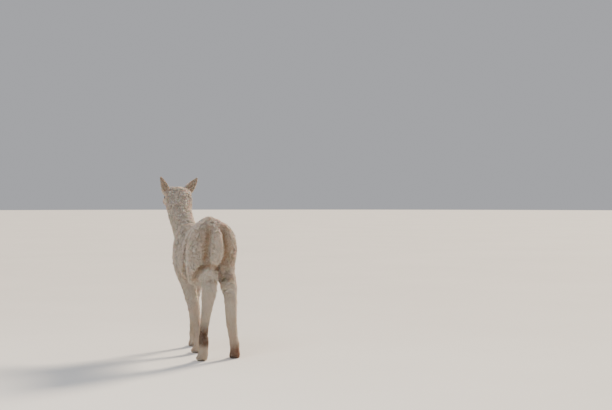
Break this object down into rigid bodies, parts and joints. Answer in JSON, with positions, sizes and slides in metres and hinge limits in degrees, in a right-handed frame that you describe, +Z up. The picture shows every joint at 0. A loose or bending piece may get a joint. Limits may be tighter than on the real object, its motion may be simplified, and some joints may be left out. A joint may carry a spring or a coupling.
{
  "type": "alpaca model",
  "caption": "Life-size standing model of a short-fleeced alpaca in mid stride, head up and turned a little to its left, for a museum floor or a scene.",
  "frame": {"origin": "on the floor, under the middle of the animal's overall box", "axes": "+Z up, the animal faces -Y and its left side is +X"},
  "size_m": [0.3298, 1.3102, 1.1495],
  "materials": {
    "fleece": "matte, off-white fleece",
    "stained_fleece": "matte fleece, stained brown",
    "ear_skin": "matte, short-haired skin",
    "eye": "wet gloss",
    "toenail": "dull horn"
  },
  "bodies": {
    "root": {"cannon_fore_left": "fleece", "cannon_fore_right": "fleece", "cannon_hind_left": "stained_fleece", "cannon_hind_right": "stained_fleece", "ear_left": "ear_skin", "ear_right": "ear_skin", "eye_left": "eye", "eye_right": "eye", "foot_fore_left": "fleece", "foot_fore_right": "fleece", "foot_hind_left": "fleece", "foot_hind_right": "fleece", "forearm_left": "fleece", "forearm_right": "fleece", "head": "fleece", "lower_jaw": "fleece", "neck": "fleece", "shank_left": "fleece", "shank_right": "fleece", "tail": "fleece", "thigh_left": "fleece", "thigh_right": "fleece", "toenail_fore_left_inner": "toenail", "toenail_fore_left_outer": "toenail", "toenail_fore_right_inner": "toenail", "toenail_fore_right_outer": "toenail", "toenail_hind_left_inner": "toenail", "toenail_hind_left_outer": "toenail", "toenail_hind_right_inner": "toenail", "toenail_hind_right_outer": "toenail", "trunk": "fleece"}
  },
  "joints": []
}
